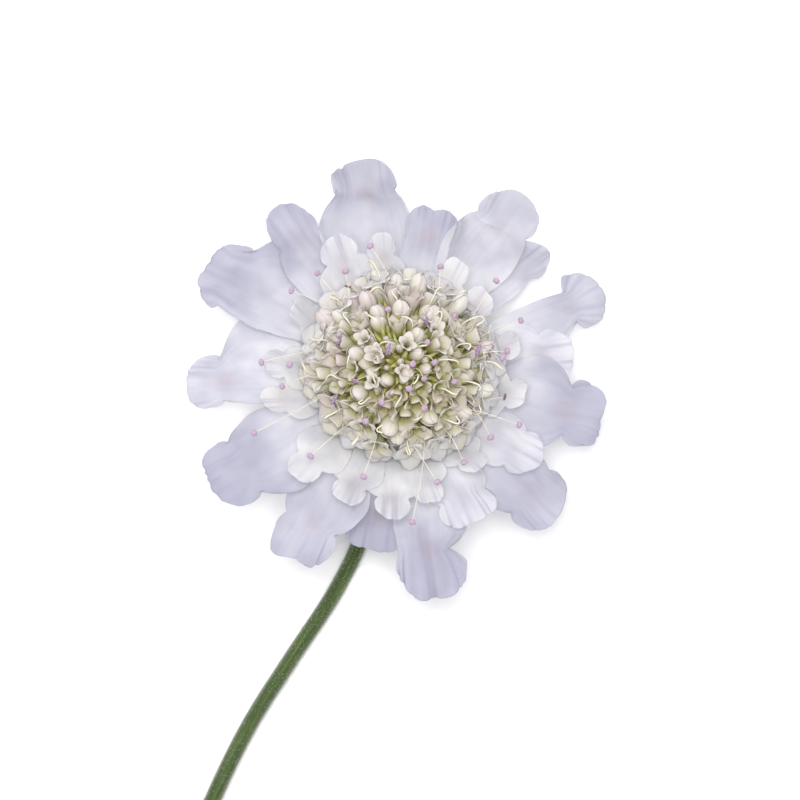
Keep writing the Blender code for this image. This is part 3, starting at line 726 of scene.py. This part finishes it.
# Bearing, half width, flare and cup of an opening floret's lobes, and bearing, half width and reach of an open one's
OPENING_LOBES = ((0.0, 1.3, 1.0, -0.25), (1.5, 0.9, 0.4, -0.15), (-1.5, 0.9, 0.4, -0.15), (3.1, 0.85, 0.0, 0.0))
OPEN_LOBES = ((0.0, 1.2, 2.6), (1.2, 0.95, 1.9), (-1.2, 0.95, 1.9), (2.5, 0.75, 1.3), (-2.5, 0.75, 1.3))
LATER_KINDS = ("shut", "shut", "opening", "opening", "opening", "open")
RIM_AT = 0.0109
RIM_SEED = 5
SCALE_COUNT = 380


def on_core(bearing, radius):
    """The point of the domed receptacle at this radius, and the directions up from it and out."""
    out = Vector((math.cos(bearing), math.sin(bearing), 0.0))
    level = math.sqrt(max(0.0, 1.0 - (radius / CORE_RIM) ** 2))
    point = radius * out + Vector((0.0, 0.0, CORE_RIM_Z + CORE_RISE * level))
    facing = radius / CORE_RIM**2 * out + Vector((0.0, 0.0, level / CORE_RISE))
    return point, facing.normalized(), out


def bend_through(t, points):
    """Points of the curve that four (radius, height) points pull into shape."""
    t = t[:, None]
    pulls = np.array(points)
    return (1 - t) ** 3 * pulls[0] + 3 * (1 - t) ** 2 * t * pulls[1] + 3 * (1 - t) * t * t * pulls[2] + t**3 * pulls[3]


def corolla_lobe(bearing, half, profile, wall, cup=0.0):
    """A spoon-shaped lobe of a small corolla. It follows a curve through four (radius, height) points, half is its
    half width at its widest, and cup is how far its edges stand up."""
    bpy.ops.object.select_all(action="DESELECT")
    bpy.ops.mesh.primitive_grid_add(x_subdivisions=6, y_subdivisions=8, size=2.0)
    lobe = bpy.context.object
    flat = coordinates(lobe)
    t = np.sin((flat[:, 1] + 1) / 2 * math.pi / 2)
    run = bend_through(t, profile)
    wide = np.where(t < 0.6, eased(t, (0.0, 0.4), (0.6, 1.0)), np.sqrt(np.clip(1 - ((t - 0.6) / 0.4) ** 2, 0.02, 1)))
    aside = half * flat[:, 0] * wide
    # The lobe wraps round the floret at its foot
    around = bearing + aside / np.maximum(run[:, 0], 0.75 * half)
    height = run[:, 1] + cup * flat[:, 0] ** 2 * t * half
    reshape(lobe, np.stack([run[:, 0] * np.cos(around), run[:, 0] * np.sin(around), height], axis=1))
    thickened(lobe, wall)
    mark(lobe, "level", np.tile(t, 2))
    return lobe


def egg(width, tall, rng):
    """The part of a floret that is still rolled up: an egg on a narrow foot."""
    bpy.ops.object.select_all(action="DESELECT")
    bpy.ops.mesh.primitive_uv_sphere_add(segments=16, ring_count=12, radius=1.0)
    body = bpy.context.object
    ball = coordinates(body)
    around = np.arctan2(ball[:, 1], ball[:, 0])
    level = (ball[:, 2] + 1) / 2
    radius = width * np.sqrt(np.clip(1 - ball[:, 2] ** 2, 0, 1)) * eased(level, (0.0, 0.35), (0.80, 1.05), (1.0, 1.05))
    radius *= 1 - 0.11 * eased(level, (0.3, 0.0), (0.8, 1.0)) * np.abs(np.sin(2 * around + rng.uniform(0, 6)))
    reshape(body, np.stack([radius * np.cos(around), radius * np.sin(around), tall * level], axis=1))
    mark(body, "level", level)
    return body


def small_floret(kind, rng):
    """A disc floret, with its radius near 1: shut, opening, or open with its first and largest lobe facing out."""
    if kind == "shut":
        parts = [egg(0.96, 3.5, rng)]
        for bearing, half in ((rng.uniform(-0.6, 0.6), 1.15), (rng.uniform(1.6, 2.4), 0.9)):
            tall = rng.uniform(3.5, 3.8)
            profile = ((0.30, 0.8), (0.95, 1.5), (1.40, tall - 0.5), (rng.uniform(0.05, 0.4), tall))
            parts.append(corolla_lobe(bearing, half, profile, 0.04))
    elif kind == "opening":
        parts = [egg(0.66, 2.5, rng)]
        for bearing, half, flare, cup in OPENING_LOBES:
            flare += rng.uniform(-0.15, 0.25)
            tall = rng.uniform(2.9, 3.3)
            profile = ((0.32, 0.6), (0.75, 1.6), (0.9 + 0.2 * flare, tall + 0.3), (0.5 + 1.8 * flare, tall + 0.1))
            parts.append(corolla_lobe(bearing + rng.uniform(-0.15, 0.15), half, profile, 0.05, cup))
    else:
        parts = []
        for bearing, half, far in OPEN_LOBES:
            far *= rng.uniform(0.88, 1.1)
            profile = ((0.28, 0.5), (0.42, 2.3), (0.45 * far, 3.0), (far, 2.9 + rng.uniform(-0.2, 0.2)))
            bearing += rng.uniform(-0.15, 0.15)
            parts.append(corolla_lobe(bearing, half, profile, 0.05, rng.uniform(-0.25, 0.15)))
    return joined(parts)


def settled_copies(template, name, placed, finish, node):
    """Copies a template to each (frame, tints) place and settles the fused piece."""
    level = np.empty(len(template.data.vertices))
    template.data.attributes["level"].data.foreach_get("value", level)
    template.data.attributes.remove(template.data.attributes["level"])
    fused = copies(template, [spot for spot, _ in placed])
    mark(fused, "level", np.tile(level, len(placed)))
    for label, values in zip(("tint", "green", "pale"), zip(*[tints for _, tints in placed])):
        mark(fused, label, np.repeat(values, len(level)))
    return settled(fused, name, finish, node)


def floret_skin(name, lets_through, *white_stops):
    """Waxy skin of the small florets: cream, yellow green at the foot, pinkish on some and whiter on others, and less
    white and greener as painted shade on the head's lower side. Where it is thin it lets more light through."""
    skin = new_finish(name)
    level, tint, green, pale = (
        add(skin, "Attribute", {"attribute_name": label}).outputs["Fac"] for label in ("level", "tint", "green", "pale")
    )
    # The tones blur into each other in clouds of 1.4 mm
    place = add(skin, "TexCoord").outputs["Object"]
    cloud = add(skin, "TexNoise", {"Scale": 700.0, "Detail": 2.0}, {"Vector": place}).outputs["Fac"]
    blur = add(skin, "Math", {"operation": "MULTIPLY_ADD", 1: 0.25, 2: -0.125}, {0: cloud}).outputs[0]
    up = add(skin, "Math", {"operation": "ADD"}, {0: level, 1: blur}).outputs[0]
    # The green shift also carries the painted shade of the head's lower side
    up = add(skin, "Math", {"operation": "SUBTRACT"}, {0: up, 1: green}).outputs[0]
    stops = ((0.0, "#8E903E"), (0.20, "#A9A760"), (0.40, "#C8C1A5"), (0.60, "#D8D1C6"), (1.0, "#DED8D5"))
    tone = add(skin, "ValToRGB", {"stops": stops}, {"Fac": up}).outputs["Color"]
    white = add(skin, "ValToRGB", {"stops": white_stops}, {"Fac": up}).outputs["Color"]
    tone = add(skin, "Mix", {"data_type": "RGBA"}, {0: pale, 6: tone, 7: white}).outputs[2]
    tone = add(skin, "Mix", {"data_type": "RGBA", 7: srgb("#CDB4BB")}, {0: tint, 6: tone}).outputs[2]
    shader = add(skin, "BsdfPrincipled", {"Roughness": 0.42, "IOR": 1.42}, {"Base Color": tone})
    through = add(skin, "Mix", {"data_type": "RGBA", 0: 0.5, 7: srgb("#FFFFFF")}, {6: tone}).outputs[2]
    glow = add(skin, "BsdfTranslucent", {}, {"Color": through})
    both = add(skin, "MixShader", {0: lets_through}, {1: shader.outputs[0], 2: glow.outputs[0]})
    add(skin, "OutputMaterial", links={"Surface": both.outputs[0]})
    return skin


def receptacle_skin():
    """The receptacle's surface between the florets: moist olive green tissue with dark pits."""
    skin = new_finish("receptacle tissue")
    # The pits are 0.9 mm apart, as the florets' scars are
    place = add(skin, "TexCoord").outputs["Object"]
    cells = add(skin, "TexVoronoi", {"Scale": 1100.0}, {"Vector": place}).outputs["Distance"]
    stops = ((0.1, "#453F1A"), (0.5, "#6E672B"), (0.9, "#958C49"))
    tone = add(skin, "ValToRGB", {"stops": stops}, {"Fac": cells}).outputs["Color"]
    bump = add(skin, "Bump", {"Strength": 0.6, "Distance": 0.0002}, {"Height": cells})
    feeds = {"Base Color": tone, "Normal": bump.outputs[0]}
    shader = add(skin, "BsdfPrincipled", {"Roughness": 0.55, "IOR": 1.45}, feeds)
    add(skin, "OutputMaterial", links={"Surface": shader.outputs[0]})
    return skin


def scale_skin():
    """The soft pointed scales between the florets: yellow green and waxy."""
    skin = new_finish("yellow green scale")
    # The tone drifts over 1.7 mm, from one scale to the next
    place = add(skin, "TexCoord").outputs["Object"]
    cloud = add(skin, "TexNoise", {"Scale": 600.0}, {"Vector": place}).outputs["Fac"]
    stops = ((0.35, "#94934A"), (0.65, "#B4B276"))
    tone = add(skin, "ValToRGB", {"stops": stops}, {"Fac": cloud}).outputs["Color"]
    shader = add(skin, "BsdfPrincipled", {"Roughness": 0.5, "IOR": 1.45}, {"Base Color": tone})
    add(skin, "OutputMaterial", links={"Surface": shader.outputs[0]})
    return skin


bpy.ops.object.select_all(action="DESELECT")
bpy.ops.mesh.primitive_uv_sphere_add(segments=48, ring_count=48, radius=1.0)
core = bpy.context.object
dome = [(CORE_RIM * math.sin(a), CORE_RIM_Z + CORE_RISE * math.cos(a)) for a in np.linspace(0, math.pi / 2, 12)]
cone = [(CORE_RIM + t * (CORE_FOOT - CORE_RIM), CORE_RIM_Z + t * (SEAT_Z - CORE_RIM_Z)) for t in np.linspace(0, 1, 7)]
turned_to(core, dome + cone[1:] + [(0.0, SEAT_Z)])
reshape(core, moved(coordinates(core), head_frame()))
settled(core, "receptacle", receptacle_skin(), "disc_florets")

# Pointed green scales stand between the florets
rng = random.Random(8)
bpy.ops.object.select_all(action="DESELECT")
bpy.ops.mesh.primitive_cone_add(vertices=5, radius1=0.35, radius2=0.0, depth=1.0, end_fill_type="NOTHING")
scale = bpy.context.object
reshape(scale, coordinates(scale) + (0.0, 0.0, 0.5))
frames = []
for number in range(SCALE_COUNT):
    point, facing, out = on_core(number * GOLDEN_ANGLE + 0.7, 0.0110 * math.sqrt((number + 0.5) / SCALE_COUNT))
    facing += 0.5 * out + Vector([rng.uniform(-0.25, 0.25) for _ in range(3)])
    tall = 0.001 * rng.uniform(1.6, 2.8)
    frames.append(head_frame() @ standing(point, facing, out, (0.0014, 0.0014, tall)))
settled(copies(scale, frames), "receptacle_scales", scale_skin(), "disc_florets")

rng = random.Random(BUD_SEED)
florets = {"shut": [], "opening": [], "open": [], "thin": []}
for number in range(BUD_COUNT):
    share = math.sqrt((number + 0.5) / BUD_COUNT)
    bearing = number * GOLDEN_ANGLE + rng.uniform(-0.06, 0.06)
    point, facing, out = on_core(bearing, BUD_SPREAD * share)
    half = (0.00106 + 0.00032 * share) * rng.uniform(0.85, 1.15)
    facing += (0.35 + 1.1 * share) * out + Vector([rng.uniform(-0.14, 0.14) for _ in range(3)])
    point -= 0.0004 * facing
    kind = rng.choice(LATER_KINDS if share > 0.3 else ("shut", "opening"))
    size = (0.85 * half, half * rng.uniform(0.9, 1.1), half * rng.uniform(0.9, 1.1))
    tint = rng.uniform(0.1, 0.45) if rng.random() < 0.25 else 0.0
    # Painted shade: those at the head's lower side are made less white and their green reaches higher, in place of the
    # shade that falls on that side
    low = (1 - math.sin(bearing)) / 2
    tints = (tint, 0.13 * (1 - share) + 0.22 * low, 0.9 * share**2 * (1 - 0.5 * low))
    florets[kind].append((head_frame() @ standing(point, facing, out, size), tints))
# Smaller buds fill the gaps in the middle
for number in range(SMALL_COUNT):
    point, facing, out = on_core(number * GOLDEN_ANGLE + 1.9, 0.0052 * math.sqrt((number + 0.5) / SMALL_COUNT))
    facing += 0.4 * math.sqrt((number + 0.5) / SMALL_COUNT) * out
    facing += Vector([rng.uniform(-0.2, 0.2) for _ in range(3)])
    half = 0.00058 * rng.uniform(0.8, 1.15)
    frame = head_frame() @ standing(point - 0.0003 * facing, facing, out, (half, half, 1.3 * half))
    florets["shut"].append((frame, (0.0, 0.24, 0.0)))
# Thin white ones spread over the florets' roots round the rim
rng = random.Random(RIM_SEED)
for number in range(RIM_COUNT):
    bearing = math.tau * (number + rng.uniform(-0.4, 0.4)) / RIM_COUNT
    low = (1 - math.sin(bearing)) / 2
    point, facing, out = on_core(bearing, RIM_AT - rng.uniform(0.0, 0.0018) * (1 - low))
    facing += Vector((0.0, 0.0, rng.uniform(0.0, 0.5))) + (0.6 + 0.3 * low) * out
    size = 0.00148 * rng.uniform(0.8, 1.2) * (1 - 0.15 * low)
    frame = head_frame() @ standing(point, facing, out, (size, size, 0.66 * size))
    # Painted shade: those at the head's lower side are greener, in place of the shade that falls on that side
    florets["thin"].append((frame, (0.0, -0.1 + 0.24 * low, rng.uniform(0.7, 1.0))))
for number in range(OPEN_COUNT):
    bearing, radius = rng.uniform(0, math.tau), 0.0062 * math.sqrt(rng.random())
    point, facing, out = on_core(bearing, radius)
    facing += Vector([rng.uniform(-0.25, 0.25) for _ in range(3)])
    size = 0.00075 * rng.uniform(0.9, 1.15)
    frame = head_frame() @ standing(point, facing, out, (size, size, 1.4 * size))
    florets["open"].append((frame, (0.0, 0.05, 0.3)))

cream = ((0.0, "#BCC088"), (0.30, "#D8D7CB"), (1.0, "#E0DEDD"))
bud_finish = floret_skin("waxy cream bud", 0.20, *cream)
lobe_finish = floret_skin("cream floret lobe", 0.34, *cream)
rim_finish = floret_skin("thin white floret lobe", 0.50, (0.0, "#CDD0A4"), (0.35, "#E4E4E0"), (1.0, "#EDECF0"))
finishes = {"shut": bud_finish, "opening": lobe_finish, "open": lobe_finish, "thin": rim_finish}
rng = random.Random(31)
for kind, placed in florets.items():
    for version in range(KINDS_EACH):
        template = small_floret(kind, rng)
        name = f"{kind}_florets_{version + 1}"
        settled_copies(template, name, placed[version::KINDS_EACH], finishes[kind], "disc_florets")

# The stamens stand out of the open florets. Each is a pale threadlike filament with a small two-celled anther across
# its end, lavender pink while it is full and violet and narrow after it has split.
LONG_STAMEN_Z = (0.0078, 0.0096)
STAMEN_SEED = 7
FILAMENT_HALF = 0.00005
# Bearing in degrees and reach of each anther, as seen from above
LONG_STAMENS = (
    (141.0, 0.0194), (127.8, 0.0186), (116.3, 0.0167), (101.8, 0.0190), (174.1, 0.0194), (-175.1, 0.0164),
    (-158.5, 0.0218), (-137.4, 0.0167), (-108.7, 0.0150), (-84.2, 0.0207), (-69.4, 0.0160), (-52.2, 0.0154),
    (-33.2, 0.0158), (-21.7, 0.0186), (13.0, 0.0160), (24.4, 0.0193), (44.0, 0.0196), (68.6, 0.0168),
)
SHORT_STAMENS = (
    (98.0, 0.0096), (144.7, 0.0101), (47.0, 0.0118), (48.7, 0.0064), (38.8, 0.0028), (20.3, 0.0056),
    (-5.4, 0.0038), (-5.5, 0.0081), (-47.5, 0.0024), (-49.9, 0.0059), (-125.3, 0.0078), (-121.3, 0.0043),
    (173.9, 0.0154), (10.0, 0.0152),
)
SPLIT_STAMENS = (
    (109.7, 0.0040), (149.8, 0.0096), (79.2, 0.0105), (18.2, 0.0121), (-160.0, 0.0095), (-174.0, 0.0060),
    (62.0, 0.0088),
)
DRY_STAMENS = ((13.2, 0.0134), (-10.9, 0.0155), (119.0, 0.0146), (122.0, 0.0082))


def filament_skin():
    """Filaments of thin clear cells: pale cream with a satin gloss."""
    skin = new_finish("pale filament")
    # The tone drifts over 2 mm along a filament
    place = add(skin, "TexCoord").outputs["Object"]
    cloud = add(skin, "TexNoise", {"Scale": 500.0}, {"Vector": place}).outputs["Fac"]
    stops = ((0.3, "#D2CDB2"), (0.7, "#E4E0CE"))
    tone = add(skin, "ValToRGB", {"stops": stops}, {"Fac": cloud}).outputs["Color"]
    shader = add(skin, "BsdfPrincipled", {"Roughness": 0.35, "IOR": 1.45}, {"Base Color": tone})
    add(skin, "OutputMaterial", links={"Surface": shader.outputs[0]})
    return skin


def anther_skin(name, dark, light):
    """Anther walls, matt with a bloom of fine pollen."""
    skin = new_finish(name)
    # The pollen grains are drawn 0.16 mm across, twice their real size
    place = add(skin, "TexCoord").outputs["Object"]
    grains = add(skin, "TexNoise", {"Scale": 6000.0, "Detail": 2.0}, {"Vector": place}).outputs["Fac"]
    stops = ((0.35, dark), (0.65, light))
    tone = add(skin, "ValToRGB", {"stops": stops}, {"Fac": grains}).outputs["Color"]
    bump = add(skin, "Bump", {"Strength": 0.4, "Distance": 0.00005}, {"Height": grains})
    feeds = {"Base Color": tone, "Normal": bump.outputs[0]}
    shader = add(skin, "BsdfPrincipled", {"Roughness": 0.7, "IOR": 1.45}, feeds)
    add(skin, "OutputMaterial", links={"Surface": shader.outputs[0]})
    return skin


rng = random.Random(STAMEN_SEED)
threads = bpy.data.curves.new("filaments", "CURVE")
threads.dimensions = "3D"
threads.bevel_depth, threads.bevel_resolution = FILAMENT_HALF, 1
threads.resolution_u, threads.use_fill_caps = 6, True
full, split, dry = [], [], []
for stamens, ends in ((LONG_STAMENS, full), (SHORT_STAMENS, full), (SPLIT_STAMENS, split), (DRY_STAMENS, dry)):
    for bearing, reach in stamens:
        if stamens is LONG_STAMENS:
            height = rng.uniform(*LONG_STAMEN_Z)
        else:
            height = on_core(0.0, min(reach, 0.0105))[0].z + rng.uniform(0.0034, 0.0042)
        own_bearing, own_reach = seen_from_above(math.radians(bearing), reach, height)
        aside = rng.uniform(-0.3, 0.3)
        rooted_at = 0.0100 if stamens is LONG_STAMENS else max(0.001, own_reach - 0.0024)
        foot, facing, _ = on_core(own_bearing + aside, rooted_at)
        out = Vector((math.cos(own_bearing), math.sin(own_bearing), 0.0))
        tip = own_reach * out + Vector((0.0, 0.0, height))
        bend = foot.lerp(tip, 0.45) + Vector((0.0, 0.0, 0.0016))
        bend += Vector([rng.uniform(-0.0005, 0.0005) for _ in range(3)])
        path = [head_frame() @ point for point in (foot, bend, tip)]
        spline = threads.splines.new("BEZIER")
        spline.bezier_points.add(2)
        for knot, point in zip(spline.bezier_points, path):
            knot.co = point
            knot.handle_left_type = knot.handle_right_type = "AUTO"
        along = (path[2] - path[1]).normalized()
        spin = Vector([rng.uniform(-1, 1) for _ in range(3)])
        ends.append((path[2], along, spin))
# Bare styles and filaments curl out between the florets
for number in range(34):
    radius = 0.0112 * math.sqrt((number + 0.5) / 34)
    foot, facing, out = on_core(number * GOLDEN_ANGLE + 0.4, min(radius, 0.0105))
    top = foot + rng.uniform(0.0026, 0.0034) * facing + 0.0008 * out
    way = (rng.uniform(0.2, 1.0) * out + Vector([rng.uniform(-0.8, 0.8), rng.uniform(-0.8, 0.8), 0.0])).normalized()
    end = top + rng.uniform(0.0008, 0.0020) * way + rng.uniform(-0.0002, 0.0006) * facing
    hook = end + Vector([rng.uniform(-0.0008, 0.0008) for _ in range(3)]) - 0.0005 * facing
    spline = threads.splines.new("BEZIER")
    spline.bezier_points.add(3)
    for knot, point in zip(spline.bezier_points, (foot, top, end, hook)):
        knot.co = head_frame() @ point
        knot.handle_left_type = knot.handle_right_type = "AUTO"
        knot.radius = 2.4
made = bpy.data.objects.new("filaments", threads)
bpy.context.scene.collection.objects.link(made)
bpy.ops.object.select_all(action="DESELECT")
made.select_set(True)
bpy.context.view_layer.objects.active = made
bpy.ops.object.convert(target="MESH")
settled(bpy.context.object, "filaments", filament_skin(), "disc_florets")

for name, placed, size, finish in (
    ("full_anthers", full, (0.00056, 0.00048, 0.00044), anther_skin("lavender anther wall", "#A18AA0", "#BFA6BE")),
    ("split_anthers", split, (0.00095, 0.00028, 0.00026), anther_skin("split anther wall", "#866792", "#AC8DB5")),
    ("dry_anthers", dry, (0.00070, 0.00022, 0.00018), anther_skin("dry anther wall", "#4C3D33", "#8A7462")),
):
    bpy.ops.object.select_all(action="DESELECT")
    bpy.ops.mesh.primitive_uv_sphere_add(segments=14, ring_count=10, radius=1.0)
    anther = bpy.context.object
    # A groove parts its two cells
    ball = coordinates(anther)
    ball[:, 2] *= 1 - 0.22 * np.exp(-((ball[:, 1] / 0.22) ** 2)) * (np.abs(ball[:, 0]) < 0.98)
    reshape(anther, ball)
    copies(anther, [standing(point, way, spin, size) for point, way, spin in placed])
    settled(anther, name, finish, "disc_florets")

# The stage is a plain pale sheet under the flower, lit by a wide soft sky of light and one large soft lamp, and
# seen from straight above, as the photo was taken.
PIXELS_PER_METRE = 7000.0
PICTURE = 800.0
HEAD_SEEN_AT = (397.5, 376.5)
LENS = 400.0
SENSOR = 36.0

# White drawing paper, matt, with a cloudiness of 2.5 mm that the eye hardly sees
floor_finish = new_finish("matt white paper")
place = add(floor_finish, "TexCoord").outputs["Object"]
cloud = add(floor_finish, "TexNoise", {"Scale": 400.0, "Detail": 2.0}, {"Vector": place}).outputs["Fac"]
stops = ((0.3, "#FAFAFA"), (0.7, "#FDFDFD"))
sheet = add(floor_finish, "ValToRGB", {"stops": stops}, {"Fac": cloud}).outputs["Color"]
paper = add(floor_finish, "BsdfPrincipled", {"Roughness": 0.9}, {"Base Color": sheet})
add(floor_finish, "OutputMaterial", links={"Surface": paper.outputs[0]})
bpy.ops.object.select_all(action="DESELECT")
bpy.ops.mesh.primitive_plane_add(size=4.0)
floor = bpy.context.object
floor.name = "floor"
floor.data.materials.append(floor_finish)

sky = bpy.data.worlds.new("soft studio light")
sky.use_nodes = True
sky.node_tree.nodes["Background"].inputs["Color"].default_value = srgb("#FAFAFF")
sky.node_tree.nodes["Background"].inputs["Strength"].default_value = 0.66
bpy.context.scene.world = sky


def soft_lamp(name, place, size, power, colour):
    """A square soft box that faces the bloom."""
    lamp = bpy.data.lights.new(name, "AREA")
    lamp.size, lamp.energy, lamp.color = size, power, srgb(colour)[:3]
    made = bpy.data.objects.new(name, lamp)
    made.location = place
    made.rotation_euler = (HEAD_AT - Vector(place)).to_track_quat("-Z", "Y").to_euler()
    bpy.context.scene.collection.objects.link(made)


soft_lamp("overhead soft box", (-0.02, 0.11, 1.15), 0.4, 10.8, "#FFFDFA")
soft_lamp("window", (-0.45, 0.80, 0.75), 0.6, 3.2, "#FFFDFA")

field = PICTURE / PIXELS_PER_METRE
distance = LENS / SENSOR * field
camera = bpy.data.objects.new("camera", bpy.data.cameras.new("camera"))
camera.data.lens = LENS
camera.data.sensor_width = SENSOR
camera.data.clip_start = 0.01
middle = PICTURE / 2
camera.location = (
    HEAD_AT.x + (middle - HEAD_SEEN_AT[0]) / PIXELS_PER_METRE,
    HEAD_AT.y - (middle - HEAD_SEEN_AT[1]) / PIXELS_PER_METRE,
    HEAD_AT.z + distance,
)
bpy.context.scene.collection.objects.link(camera)
bpy.context.scene.camera = camera
bpy.context.scene.view_settings.view_transform = "Standard"
